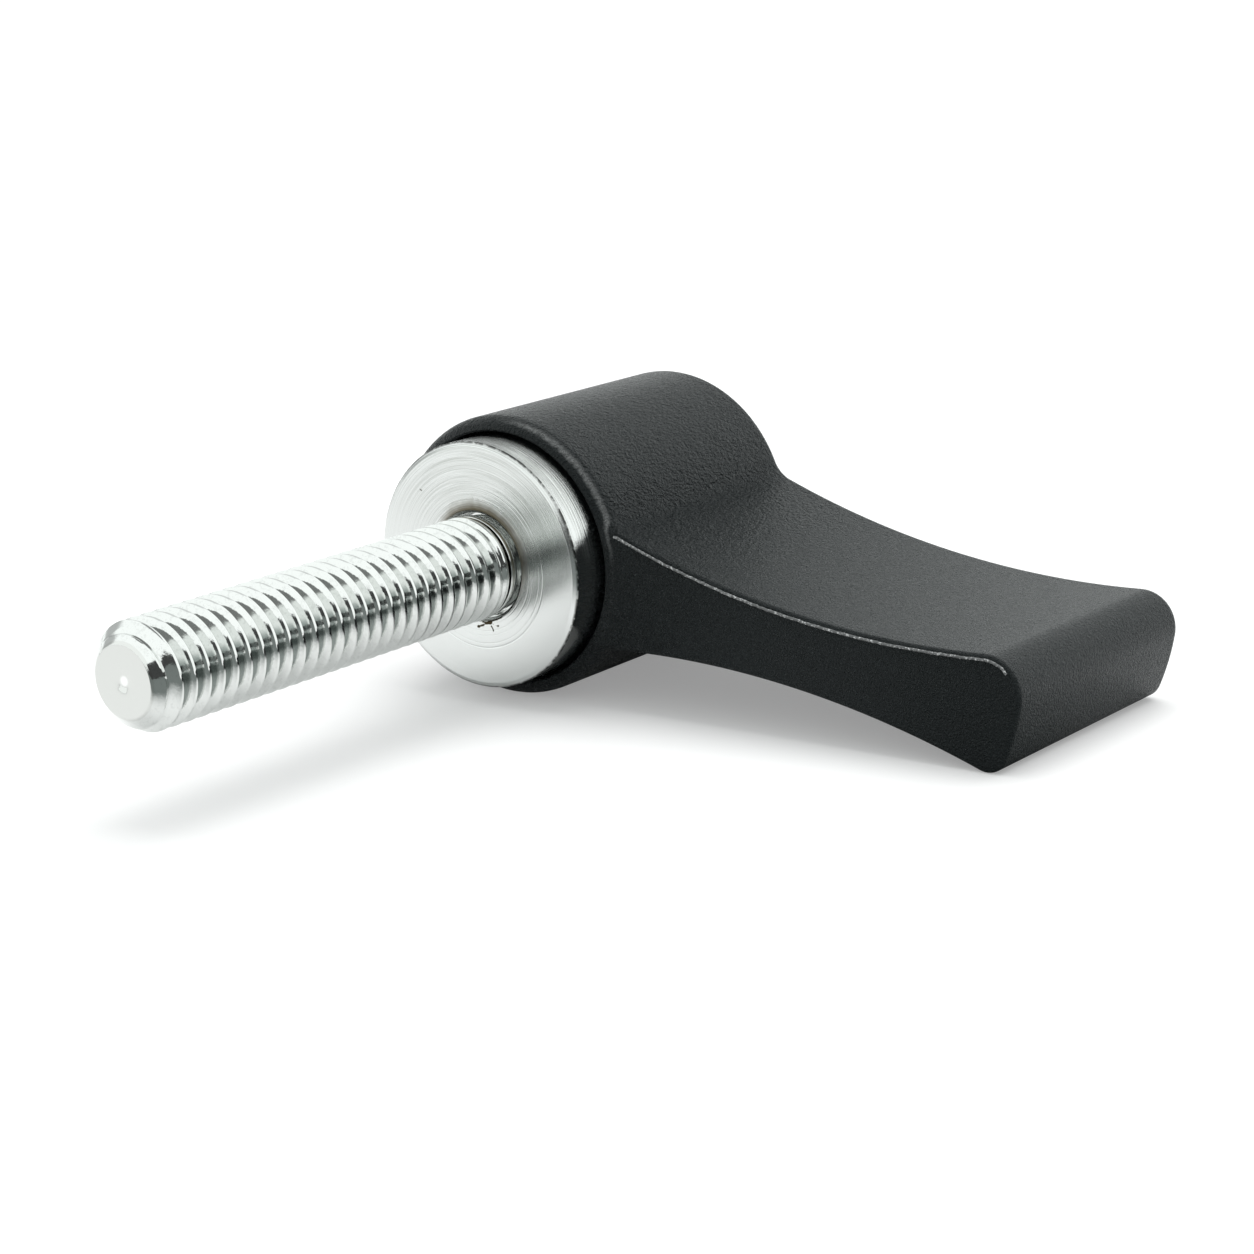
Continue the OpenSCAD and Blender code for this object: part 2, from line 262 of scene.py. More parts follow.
def new_tree(name, kind, inputs, outputs):
    """Makes a node group and returns it with its inputs by name and its output node."""
    tree = bpy.data.node_groups.new(name, kind)
    for label, socket_type, value in inputs:
        socket = tree.interface.new_socket(label, in_out="INPUT", socket_type="NodeSocket" + socket_type)
        if value is not None:
            socket.default_value = value
    for label, socket_type in outputs:
        tree.interface.new_socket(label, in_out="OUTPUT", socket_type="NodeSocket" + socket_type)
    return tree, tree.nodes.new("NodeGroupInput").outputs, tree.nodes.new("NodeGroupOutput")


def geometry_tree(name, inputs):
    tree, given, result = new_tree(name, "GeometryNodeTree", inputs + [("Material", "Material", None)],
                                   [("Geometry", "Geometry")])
    tree.is_modifier = True
    return tree, given, result


def finish_tree(tree, given, result, geometry):
    """Ends a geometry tree in plain faces with a material."""
    plain = put(tree, "GeometryNodeRealizeInstances", {"Geometry": geometry}).outputs[0]
    shaded = put(tree, "GeometryNodeSetShadeSmooth", {"Geometry": plain, "Shade Smooth": True}).outputs[0]
    painted = put(tree, "GeometryNodeSetMaterial", {"Geometry": shaded, "Material": given["Material"]})
    tree.links.new(painted.outputs[0], result.inputs["Geometry"])


def add_object(name, data):
    obj = bpy.data.objects.new(name, data)
    bpy.context.scene.collection.objects.link(obj)
    return obj


def grown(name, tree, values, base=None):
    """Runs a geometry tree and keeps what it makes as a plain mesh in a new object."""
    source = base or add_object(name, bpy.data.meshes.new(name))
    modifier = source.modifiers.new("Grow", "NODES")
    modifier.node_group = tree
    for item in tree.interface.items_tree:
        if item.item_type == "SOCKET" and item.in_out == "INPUT" and item.name in values:
            modifier[item.identifier] = values[item.name]
    mesh = evaluated_mesh(source)
    source.modifiers.clear()
    source.data = mesh
    mesh.name = name
    mesh.materials.clear()
    mesh.materials.append(values["Material"])
    mesh.polygons.foreach_set("material_index", [0] * len(mesh.polygons))
    return source


def evaluated_mesh(obj):
    bpy.context.view_layer.update()
    depsgraph = bpy.context.evaluated_depsgraph_get()
    return bpy.data.meshes.new_from_object(obj.evaluated_get(depsgraph))


# Mesh making

def mesh_object(name, points, faces, material=None):
    """Makes an object from points in millimetres, with its faces turned outwards."""
    mesh = bpy.data.meshes.new(name)
    mesh.from_pydata([[c * MM for c in p] for p in points], [], faces)
    turn_outwards(mesh)
    obj = add_object(name, mesh)
    if material:
        mesh.materials.append(material)
    return obj


def turn_outwards(mesh, merge=1e-7):
    work = bmesh.new()
    work.from_mesh(mesh)
    bmesh.ops.remove_doubles(work, verts=work.verts, dist=merge)
    bmesh.ops.recalc_face_normals(work, faces=work.faces)
    work.to_mesh(mesh)
    work.free()


def soften(obj, sharp_deg=32):
    """Smooths an object's shading up to an angle, and lets its large faces keep their own direction."""
    mesh = obj.data
    mesh.shade_smooth()
    mesh.set_sharp_from_angle(angle=math.radians(sharp_deg))
    weighted = obj.modifiers.new("Weighted", "WEIGHTED_NORMAL")
    weighted.keep_sharp = True
    name = mesh.name
    obj.data = evaluated_mesh(obj)
    obj.modifiers.clear()
    obj.data.name = name


def joined(name, parts, merge=1e-6):
    """Joins meshes in one object and closes the seams between them."""
    work = bmesh.new()
    for part in parts:
        work.from_mesh(part.data)
    bmesh.ops.remove_doubles(work, verts=work.verts, dist=merge)
    bmesh.ops.dissolve_degenerate(work, edges=work.edges, dist=merge)
    bmesh.ops.recalc_face_normals(work, faces=work.faces)
    mesh = bpy.data.meshes.new(name)
    work.to_mesh(mesh)
    work.free()
    for material in parts[0].data.materials:
        mesh.materials.append(material)
    for part in parts:
        bpy.data.objects.remove(part)
    return add_object(name, mesh)


def boolean(obj, tool, operation):
    """Cuts or joins a solid with another one, and removes the tool."""
    modifier = obj.modifiers.new("Cut", "BOOLEAN")
    modifier.operation = operation
    modifier.object = tool
    modifier.solver = "EXACT"
    mesh = evaluated_mesh(obj)
    obj.modifiers.clear()
    obj.data = mesh
    bpy.data.objects.remove(tool)


def lathe(name, profile, segments, material=None):
    """Turns a profile of (radius, place along the axis) round the stud's axis; radius 0 closes an end."""
    points = []
    rings = []
    for radius, y in profile:
        if radius == 0:
            rings.append([len(points)] * segments)
            points.append((0, y, 0))
        else:
            rings.append([len(points) + k for k in range(segments)])
            for k in range(segments):
                turn = math.tau * k / segments
                points.append((radius * math.sin(turn), y, radius * math.cos(turn)))
    faces = []
    for ring, following in zip(rings, rings[1:]):
        for k in range(segments):
            n = (k + 1) % segments
            corners = [ring[k], ring[n], following[n], following[k]]
            face = list(dict.fromkeys(corners))
            if len(face) > 2:
                faces.append(face)
    return mesh_object(name, points, faces, material)


def rounded(corners, radius, steps=5):
    """Rounds the corners of an open profile; its two ends stay as they are."""
    result = [corners[0]]
    for before, corner, after in zip(corners, corners[1:], corners[2:]):
        here = Vector(corner)
        back = Vector(before) - here
        ahead = Vector(after) - here
        reach = min(radius, back.length * 0.45, ahead.length * 0.45)
        start = here + back.normalized() * reach
        end = here + ahead.normalized() * reach
        for i in range(steps + 1):
            t = i / steps
            point = start * (1 - t) ** 2 + here * 2 * t * (1 - t) + end * t ** 2
            result.append((point.x, point.y))
    result.append(corners[-1])
    return result


# Outline of the handle, in the plane across the stud's axis

def crossing(c0, r0, c1, r1, side):
    """Where two circles cross; side is 1 or -1 and picks one of the two places."""
    between = c1 - c0
    gap = between.length
    along = between / gap
    reach = (gap * gap + r0 * r0 - r1 * r1) / (2 * gap)
    height = math.sqrt(r0 * r0 - reach * reach)
    return c0 + along * reach + Vector((-along.y, along.x)) * side * height


def heading(start, end):
    return math.atan2(end.y - start.y, end.x - start.x)


def arc(centre, radius, side, start, end, edges=(FRONT_EDGE_R, FRONT_EDGE_R), error=0.0015):
    """Stations along an arc: centre, radius, side, direction, and radius of the front edge there.

    The side is -1 on a convex arc, which shrinks when the outline is drawn in, and 1 on a hollow one.
    """
    count = max(2, math.ceil(abs(end - start) / (2 * math.acos(1 - error / radius))))
    stations = []
    for i in range(count):
        t = i / count
        turn = start + (end - start) * t
        stations.append((centre, radius, side, Vector((math.cos(turn), math.sin(turn))),
                         edges[0] + (edges[1] - edges[0]) * t))
    return stations


def station_point(station, y, inset):
    centre, radius, side, direction, _ = station
    place = centre + direction * (radius + side * inset)
    return place.x, y, place.y


def outline():
    """Stations round the handle's outline: hub, underside, foot, bowed end, upper corner, dished top."""
    hub = Vector((0, 0))
    dish = Vector((ARM_REACH - DISH_BACK, DISH_R - DISH_DROP))
    foot = Vector((ARM_REACH - FOOT_BACK, TIP_FOOT_R - HUB_R))
    along, up = foot.x - ARCH_X, foot.y + ARCH_DROP
    arch_r = (along * along + up * up - TIP_FOOT_R * TIP_FOOT_R) / (2 * (TIP_FOOT_R - up))
    arch = Vector((ARCH_X, -ARCH_DROP - arch_r))
    corner_x = ARM_REACH - TIP_TOP_R
    corner = Vector((corner_x, dish.y - math.sqrt((DISH_R + TIP_TOP_R) ** 2 - (corner_x - dish.x) ** 2)))
    bow = crossing(foot, TIP_BOW_R - TIP_FOOT_R, corner, TIP_BOW_R - TIP_TOP_R, 1)
    top = crossing(hub, HUB_R + TOP_FILLET_R, dish, DISH_R - TOP_FILLET_R, -1)
    under = crossing(hub, HUB_R + UNDER_FILLET_R, arch, arch_r - UNDER_FILLET_R, 1)
    stretches = [
        arc(hub, HUB_R, -1, heading(hub, top), math.tau + heading(hub, under), (HUB_EDGE_R, HUB_EDGE_R)),
        arc(under, UNDER_FILLET_R, 1, heading(under, hub) % math.tau, heading(arch, under) % math.tau,
            (HUB_EDGE_R, FRONT_EDGE_R)),
        arc(arch, arch_r, 1, heading(arch, under), heading(arch, foot)),
        arc(foot, TIP_FOOT_R, -1, heading(foot, arch), heading(bow, foot)),
        arc(bow, TIP_BOW_R, -1, heading(bow, foot), heading(bow, corner)),
        arc(corner, TIP_TOP_R, -1, heading(bow, corner), heading(corner, dish)),
        arc(dish, DISH_R, 1, heading(dish, corner), heading(dish, top)),
        arc(top, TOP_FILLET_R, 1, heading(dish, top), heading(top, hub), (FRONT_EDGE_R, HUB_EDGE_R)),
    ]
    return [station for stretch in stretches for station in stretch]


def handle_blank(material):
    """The casting before its bores: the outline lofted along the axis, with rounded ends and a draft."""
    steps = 8
    walls = 30
    stations = outline()
    rear_inset = (REAR_Y - HUB_Y) * math.tan(math.radians(DRAFT_DEG))
    rings = []
    for i in range(steps + 1):
        a = math.pi / 2 * i / steps
        rings.append([station_point(s, HUB_Y + s[4] * (1 - math.cos(a)), s[4] * (1 - math.sin(a)))
                      for s in stations])
    for i in range(1, walls):
        t = i / walls
        rings.append([station_point(s, (HUB_Y + s[4]) * (1 - t) + (REAR_Y - REAR_EDGE_R) * t, rear_inset * t)
                      for s in stations])
    for i in range(steps, -1, -1):
        a = math.pi / 2 * i / steps
        rings.append([station_point(s, REAR_Y - REAR_EDGE_R * (1 - math.cos(a)),
                                    rear_inset + REAR_EDGE_R * (1 - math.sin(a))) for s in stations])
    count = len(rings[0])
    points = [p for ring in rings for p in ring]
    faces = []
    for ring in range(0, (len(rings) - 1) * count, count):
        for i in range(count):
            n = (i + 1) % count
            faces.append([ring + i, ring + n, ring + count + n, ring + count + i])
    faces += [list(range(count)), list(range(len(points) - count, len(points)))]
    return mesh_object("cast_handle", points, faces, material)


# Trees that make the pieces which follow a rule

def round_axis(tree, radius, turn, along):
    """A place in metres at a radius and a turn round the stud's axis, from sizes in millimetres."""
    x = calc(tree, "MULTIPLY", radius, calc(tree, "SINE", turn))
    z = calc(tree, "MULTIPLY", radius, calc(tree, "COSINE", turn))
    return scale_vector(tree, combine(tree, x, along, z), MM)


def circle(tree, count, radius):
    rim = put(tree, "GeometryNodeCurvePrimitiveCircle", {"Resolution": count, "Radius": radius},
              mode="RADIUS")
    return rim.outputs["Curve"]


def swept(tree, path, section):
    """Runs a section along a path and closes its ends."""
    return put(tree, "GeometryNodeCurveToMesh", {
        "Curve": path, "Profile Curve": section, "Fill Caps": True}).outputs["Mesh"]


def helical_thread_tree():
    """A grid whose rows follow the helix: one row runs along the crest, others down the flanks."""
    tree, given, result = geometry_tree("Helical thread", [
        ("Crest Radius", "Float", 3.0), ("Depth", "Float", 0.5), ("Pitch", "Float", 1.0),
        ("Phase", "Float", 0.0), ("Start", "Float", -10.0), ("Start Radius", "Float", 2.0),
        ("End", "Float", 0.0), ("Run Out", "Float", 1.0), ("Segments", "Int", 96),
        ("Rows per Pitch", "Int", 16)])
    pitch = given["Pitch"]
    length = calc(tree, "ADD", calc(tree, "SUBTRACT", given["End"], given["Start"]), pitch)
    pitches = calc(tree, "DIVIDE", length, pitch)
    rows = calc(tree, "ROUND", calc(tree, "MULTIPLY", pitches, given["Rows per Pitch"]))
    grid = put(tree, "GeometryNodeMeshGrid", {
        "Size X": 1.0, "Size Y": 1.0, "Vertices X": calc(tree, "ADD", given["Segments"], 1),
        "Vertices Y": calc(tree, "ADD", rows, 1)}).outputs["Mesh"]
    flat = split(tree, put(tree, "GeometryNodeInputPosition").outputs[0])
    around = calc(tree, "ADD", flat["X"], 0.5)
    turns = calc(tree, "DIVIDE", calc(tree, "MULTIPLY", calc(tree, "ADD", flat["Y"], 0.5), rows),
                 given["Rows per Pitch"])
    climbed = calc(tree, "SUBTRACT", calc(tree, "ADD", turns, around), 1)
    along = held(tree, calc(tree, "MULTIPLY_ADD", climbed, pitch, given["Start"]), given["Start"],
                 given["End"])
    # From 0 on the crest to 1 in the root, with flanks at 60 degrees and slightly soft corners
    wave = calc(tree, "FRACT", calc(tree, "ADD", calc(tree, "ADD", turns, given["Phase"]), 0.5))
    offset = calc(tree, "ABSOLUTE", calc(tree, "MULTIPLY_ADD", wave, 2, -1))
    straight = ramp(tree, offset, *FLANK, smooth=False)
    curved = ramp(tree, offset, *SOFT_FLANK)
    fall = calc(tree, "MULTIPLY_ADD", calc(tree, "SUBTRACT", curved, straight), FLANK_SOFTNESS, straight)
    fade_y = calc(tree, "SUBTRACT", given["End"], given["Run Out"])
    depth = calc(tree, "MULTIPLY", given["Depth"], ramp(tree, along, fade_y, given["End"], 1.0, 0.0))
    cut = calc(tree, "SUBTRACT", given["Crest Radius"], calc(tree, "MULTIPLY", depth, fall))
    # The chamfer of the tip, at 45 degrees, takes the thread's first turns down
    chamfer = calc(tree, "ADD", given["Start Radius"], calc(tree, "SUBTRACT", along, given["Start"]))
    radius = calc(tree, "MINIMUM", cut, chamfer)
    place = round_axis(tree, radius, calc(tree, "MULTIPLY", around, math.tau), along)
    moved = put(tree, "GeometryNodeSetPosition", {"Geometry": grid, "Position": place}).outputs[0]
    merged = put(tree, "GeometryNodeMergeByDistance", {"Geometry": moved, "Distance": 2e-6}).outputs[0]
    finish_tree(tree, given, result, merged)
    return tree


def toothed_bar_tree():
    """A bar with triangular teeth all round, laid along the stud's axis."""
    tree, given, result = geometry_tree("Toothed bar", [
        ("Teeth", "Int", 24), ("Tip Radius", "Float", 5.0), ("Root Radius", "Float", 4.5),
        ("Start", "Float", 0.0), ("End", "Float", 3.0)])
    rim = circle(tree, calc(tree, "MULTIPLY", given["Teeth"], 2), 1.0)
    parity = calc(tree, "MODULO", put(tree, "GeometryNodeInputIndex").outputs[0], 2)
    reach = put(tree, "ShaderNodeMix", {
        "Factor": parity, "A": given["Tip Radius"], "B": given["Root Radius"]}).outputs["Result"]
    place = put(tree, "GeometryNodeInputPosition").outputs[0]
    spread = scale_vector(tree, place, calc(tree, "MULTIPLY", reach, MM))
    star = put(tree, "GeometryNodeSetPosition", {"Geometry": rim, "Position": spread}).outputs[0]
    start, end = [combine(tree, 0.0, calc(tree, "MULTIPLY", given[name], MM), 0.0)
                  for name in ("Start", "End")]
    rail = put(tree, "GeometryNodeCurvePrimitiveLine", {"Start": start, "End": end}).outputs["Curve"]
    finish_tree(tree, given, result, swept(tree, rail, star))
    return tree


def coil_spring_tree():
    """A wire wound round the stud's axis, with both end coils closed and the others spread evenly."""
    tree, given, result = geometry_tree("Coil spring", [
        ("Coil Radius", "Float", 3.5), ("Wire Radius", "Float", 0.3), ("Start", "Float", 0.0),
        ("End", "Float", 6.0), ("Coils", "Float", 5.0), ("Closed Rise", "Float", 0.6),
        ("Points", "Int", 240)])
    line = put(tree, "GeometryNodeCurvePrimitiveLine").outputs["Curve"]
    wire = put(tree, "GeometryNodeResampleCurve", {"Curve": line, "Count": given["Points"]}).outputs[0]
    share = calc(tree, "DIVIDE", put(tree, "GeometryNodeInputIndex").outputs[0],
                 calc(tree, "SUBTRACT", given["Points"], 1))
    turns = calc(tree, "MULTIPLY", share, given["Coils"])
    inner = calc(tree, "SUBTRACT", given["Coils"], 2)
    length = calc(tree, "SUBTRACT", given["End"], given["Start"])
    free = calc(tree, "SUBTRACT", length, calc(tree, "MULTIPLY", given["Closed Rise"], 2))
    open_rise = calc(tree, "DIVIDE", free, inner)
    first = calc(tree, "MINIMUM", turns, 1)
    middle = held(tree, calc(tree, "SUBTRACT", turns, 1), 0, inner)
    last = calc(tree, "MAXIMUM", calc(tree, "SUBTRACT", turns, calc(tree, "ADD", inner, 1)), 0)
    closed = calc(tree, "MULTIPLY", calc(tree, "ADD", first, last), given["Closed Rise"])
    along = calc(tree, "ADD", calc(tree, "MULTIPLY_ADD", middle, open_rise, closed), given["Start"])
    place = round_axis(tree, given["Coil Radius"], calc(tree, "MULTIPLY", turns, math.tau), along)
    wound = put(tree, "GeometryNodeSetPosition", {"Geometry": wire, "Position": place}).outputs[0]
    section = circle(tree, 14, calc(tree, "MULTIPLY", given["Wire Radius"], MM))
    finish_tree(tree, given, result, swept(tree, wound, section))
    return tree


def flash_tree():
    """A thin ragged ridge along an edge, as a die leaves where its halves meet."""
    tree, given, result = geometry_tree("Flash ridge", [
        ("Width", "Float", 0.1), ("Step", "Float", 0.1), ("Wander", "Float", 0.03),
        ("Seed", "Float", 0.0)])
    path = put(tree, "GeometryNodeMeshToCurve", {"Mesh": tree_geometry(tree)}).outputs[0]
    even = put(tree, "GeometryNodeResampleCurve", {
        "Curve": path, "Length": calc(tree, "MULTIPLY", given["Step"], MM)}, mode="LENGTH").outputs[0]
    place = scale_vector(tree, put(tree, "GeometryNodeInputPosition").outputs[0], 1 / MM)
    ragged = put(tree, "ShaderNodeTexNoise", {
        "Vector": place, "W": given["Seed"], "Scale": 2.6, "Detail": 3.0, "Roughness": 0.7},
        noise_dimensions="4D")
    centred = put(tree, "ShaderNodeVectorMath", {0: ragged.outputs["Color"], 1: (0.5, 0.5, 0.5)},
                  operation="SUBTRACT").outputs[0]
    shift = scale_vector(tree, centred, calc(tree, "MULTIPLY", given["Wander"], MM))
    wavy = put(tree, "GeometryNodeSetPosition", {"Geometry": even, "Offset": shift}).outputs[0]
    size = ramp(tree, ragged.outputs[0], 0.35, 0.7, 0.1, 1.4)
    sized = put(tree, "GeometryNodeSetCurveRadius", {"Curve": wavy, "Radius": size}).outputs[0]
    section = circle(tree, 6, calc(tree, "MULTIPLY", given["Width"], MM / 2))
    finish_tree(tree, given, result, swept(tree, sized, section))
    return tree


def tree_geometry(tree):
    """Adds a geometry input to a tree, for one that works on the object's own mesh."""
    socket = tree.interface.new_socket("Geometry", in_out="INPUT", socket_type="NodeSocketGeometry")
    tree.interface.move(socket, 0)
    source = next(node for node in tree.nodes if node.bl_idname == "NodeGroupInput")
    return source.outputs["Geometry"]


# Effects that several finishes share

def noise(tree, place, scale, detail, roughness, distortion=0.0):
    return put(tree, "ShaderNodeTexNoise", {
        "Vector": place, "Scale": scale, "Detail": detail, "Roughness": roughness,
        "Distortion": distortion}).outputs[0]


def place_group():
    """A place on the part in millimetres, with its radius, its height and its turn on the stud's axis."""
    tree, _, result = new_tree("Place on the part", "ShaderNodeTree", [], [
        ("Place", "Vector"), ("Radius", "Float"), ("Along", "Float"), ("Turn", "Float")])
    place = scale_vector(tree, put(tree, "ShaderNodeTexCoord").outputs["Object"], 1 / MM)
    x, y, z = split(tree, place)
    radius = calc(tree, "SQRT", dot(tree, x, z, x, z))
    connect(tree, result, Place=place, Radius=radius, Along=y, Turn=calc(tree, "ARCTAN2", x, z))
    return tree


def grain_group():
    """Fine grain of two sizes: its height, and a mask of its high spots."""
    tree, given, result = new_tree("Fine grain", "ShaderNodeTree", [
        ("Place", "Vector", None), ("Size", "Float", 0.2), ("Stretch", "Float", 1.0),
        ("Wave", "Float", 0.0)], [("Height", "Float"), ("Mask", "Float")])
    squeeze = combine(tree, 1.0, calc(tree, "DIVIDE", 1, given["Stretch"]), 1.0)
    stretched = put(tree, "ShaderNodeVectorMath", [given["Place"], squeeze],
                    operation="MULTIPLY").outputs[0]
    scale = calc(tree, "DIVIDE", 1, given["Size"])
    coarse = noise(tree, stretched, scale, 2.0, 0.55, given["Wave"])
    fine = noise(tree, stretched, calc(tree, "MULTIPLY", scale, 2.3), 1.0, 0.5)
    height = calc(tree, "MULTIPLY_ADD", fine, 0.4, calc(tree, "MULTIPLY", coarse, 0.6))
    connect(tree, result, Height=height, Mask=ramp(tree, height, 0.5, 0.66))
    return tree


def specks_group():
    """Small scattered dots, such as pits and dust: 1 in a dot."""
    tree, given, result = new_tree("Specks", "ShaderNodeTree", [
        ("Place", "Vector", None), ("Spacing", "Float", 1.0), ("Dot", "Float", 0.08),
        ("Share", "Float", 0.3)], [("Mask", "Float")])
    cells = put(tree, "ShaderNodeTexVoronoi", {
        "Vector": given["Place"], "Scale": calc(tree, "DIVIDE", 1, given["Spacing"])})
    near = calc(tree, "MULTIPLY", cells.outputs["Distance"], given["Spacing"])
    lucky = put(tree, "ShaderNodeSeparateColor", [cells.outputs["Color"]]).outputs[0]
    kept = calc(tree, "LESS_THAN", lucky, given["Share"])
    inside = calc(tree, "MULTIPLY", given["Dot"], 0.5)
    speck = calc(tree, "SUBTRACT", 1, ramp(tree, near, inside, given["Dot"]))
    connect(tree, result, Mask=calc(tree, "MULTIPLY", speck, kept))
    return tree


def ring_group():
    """A soft band round the stud's axis: 1 on its middle radius."""
    tree, given, result = new_tree("Ring band", "ShaderNodeTree", [
        ("Radius", "Float", 0.0), ("Middle", "Float", 4.0), ("Width", "Float", 0.2)], [("Mask", "Float")])
    away = calc(tree, "ABSOLUTE", calc(tree, "SUBTRACT", given["Radius"], given["Middle"]))
    half = calc(tree, "MULTIPLY", given["Width"], 0.5)
    connect(tree, result, Mask=ramp(tree, away, 0.0, half, 1.0, 0.0))
    return tree


def stroke_group():
    """A scratch on the face from one point to another: 1 on its line, with a ragged width."""
    tree, given, result = new_tree("Stroke", "ShaderNodeTree", [
        ("X", "Float", 0.0), ("Z", "Float", 0.0), ("From X", "Float", 0.0), ("From Z", "Float", 0.0),
        ("To X", "Float", 1.0), ("To Z", "Float", 0.0), ("Width", "Float", 0.1),
        ("Wobble", "Float", 0.5)], [("Mask", "Float")])
    run_x = calc(tree, "SUBTRACT", given["To X"], given["From X"])
    run_z = calc(tree, "SUBTRACT", given["To Z"], given["From Z"])
    off_x = calc(tree, "SUBTRACT", given["X"], given["From X"])
    off_z = calc(tree, "SUBTRACT", given["Z"], given["From Z"])
    share = held(tree, calc(tree, "DIVIDE", dot(tree, off_x, off_z, run_x, run_z),
                            dot(tree, run_x, run_z, run_x, run_z)), 0, 1)
    left_x = calc(tree, "SUBTRACT", off_x, calc(tree, "MULTIPLY", share, run_x))
    left_z = calc(tree, "SUBTRACT", off_z, calc(tree, "MULTIPLY", share, run_z))
    away = calc(tree, "SQRT", dot(tree, left_x, left_z, left_x, left_z))
    ragged = calc(tree, "MULTIPLY_ADD", calc(tree, "SUBTRACT", given["Wobble"], 0.5), 0.5, away)
    core = calc(tree, "MULTIPLY", given["Width"], 0.5)
    connect(tree, result, Mask=ramp(tree, ragged, core, given["Width"], 1.0, 0.0))
    return tree


def turned_group():
    """Marks that a turning tool leaves: rings of uneven depth round the stud's axis."""
    tree, given, result = new_tree("Turning marks", "ShaderNodeTree", [
        ("Radius", "Float", 0.0), ("Along", "Float", 0.0), ("Turn", "Float", 0.0),
        ("Feed", "Float", 0.08)], [("Height", "Float"), ("Tone", "Float")])
    scale = calc(tree, "DIVIDE", 1, given["Feed"])
    drift = calc(tree, "MULTIPLY", calc(tree, "SINE", given["Turn"]), 0.06)
    across = combine(tree, given["Radius"], given["Along"], drift)
    connect(tree, result, Height=noise(tree, across, scale, 2.0, 0.6),
            Tone=noise(tree, across, calc(tree, "MULTIPLY", scale, 0.18), 1.0, 0.5))
    return tree


GROUPS = {"place": place_group(), "grain": grain_group(), "specks": specks_group(),
          "ring": ring_group(), "stroke": stroke_group(), "turned": turned_group()}


def use(tree, group, at=(), **values):
    """Places a shared effect in a material, tied to the place on the part, and with its own values."""
    node = put(tree, "ShaderNodeGroup", node_tree=GROUPS[group])
    tied = {socket.name: socket for socket in at}
    for socket in node.inputs:
        value = values.get(socket.name.replace(" ", "_"), tied.get(socket.name))
        if isinstance(value, bpy.types.NodeSocket):
            tree.links.new(value, socket)
        elif value is not None:
            socket.default_value = value
    return node.outputs


# Finishes

def blend(tree, factor, first, second):
    """Mixes two colours, or colour sockets."""
    node = put(tree, "ShaderNodeMix", {"Factor": factor}, data_type="RGBA")
    colours = [socket for socket in node.inputs if socket.type == "RGBA"]
    for socket, value in zip(colours, (first, second)):
        if isinstance(value, bpy.types.NodeSocket):
            tree.links.new(value, socket)
        else:
            socket.default_value = (*value, 1.0)
    return next(s for s in node.outputs if s.type == "RGBA")


def bump(tree, height, depth_mm, strength=1.0):
    return put(tree, "ShaderNodeBump", {
        "Strength": strength, "Distance": depth_mm * MM, "Height": height}).outputs[0]


def nearness(tree, turn, middle):
    """1 at the middle turn round the stud's axis, in radians from the top, and -1 across from it."""
    return calc(tree, "COSINE", calc(tree, "SUBTRACT", turn, middle))


def finish(name, **constants):
    """Starts a material; constants are set on the shader's own sockets."""
    material = bpy.data.materials.new(name)
    material.use_nodes = True
    shader = material.node_tree.nodes["Principled BSDF"]
    for key, value in constants.items():
        shader.inputs[key.replace("_", " ")].default_value = value
    return material, material.node_tree, shader


def black_coating():
    """Stoved black coating with a fine pebbled grain, scuffed on the hub's rim, with a painted highlight
    along the rim's top right.
    """
    material, tree, shader = finish("black_coating", Specular_IOR_Level=0.31, Metallic=0.0,
                                    Specular_Tint=(0.88, 0.97, 1.0, 1.0))
    at = use(tree, "place")
    grain = use(tree, "grain", at, Size=0.13, Wave=0.2)
    hide = use(tree, "grain", at, Size=0.38, Stretch=1.6, Wave=1.6)
    dust = use(tree, "specks", at, Spacing=0.9, Dot=0.06, Share=0.3)
    rim = use(tree, "ring", at, Middle=HUB_R - 0.2, Width=0.5)
    near_front = ramp(tree, at["Along"], HUB_Y + 0.3, HUB_Y + 0.8, 1.0, 0.0)
    scuff = product(tree, rim["Mask"], near_front, grain["Mask"])
    # Along the top right of the rim a thin grey line is painted: the coating rubbed thin, and a painted
    # highlight on the lip's crown
    wavy_r = calc(tree, "MULTIPLY_ADD", hide["Height"], 0.3, at["Radius"])
    lip = use(tree, "ring", Radius=wavy_r, Middle=HUB_R - 0.02, Width=0.4)
    top_right = ramp(tree, nearness(tree, at["Turn"], 0.75), 0.7, 0.92)
    rubbed_and_highlit = product(tree, lip["Mask"], near_front, top_right)
    base = blend(tree, grain["Mask"], COATING, COATING_HIGH)
    dusty = blend(tree, calc(tree, "MULTIPLY", dust["Mask"], 0.4), base, DUST)
    scuffed = blend(tree, calc(tree, "MULTIPLY", scuff, 0.6), dusty, SCUFFED)
    worn_and_highlit = blend(tree, calc(tree, "MULTIPLY", rubbed_and_highlit, 0.85), scuffed, RUBBED_AND_HIGHLIT)
    # Leathery on the hub, finer out on the arm
    leathery = ramp(tree, at["Radius"], 9.0, 18.0, 1.8, 0.3)
    height = calc(tree, "MULTIPLY_ADD", hide["Height"], leathery, grain["Height"])
    connect(tree, shader, Base_Color=worn_and_highlit, Normal=bump(tree, height, 0.42),
            Roughness=ramp(tree, grain["Height"], 0.3, 0.7, 0.36, 0.22, smooth=False))
    return material


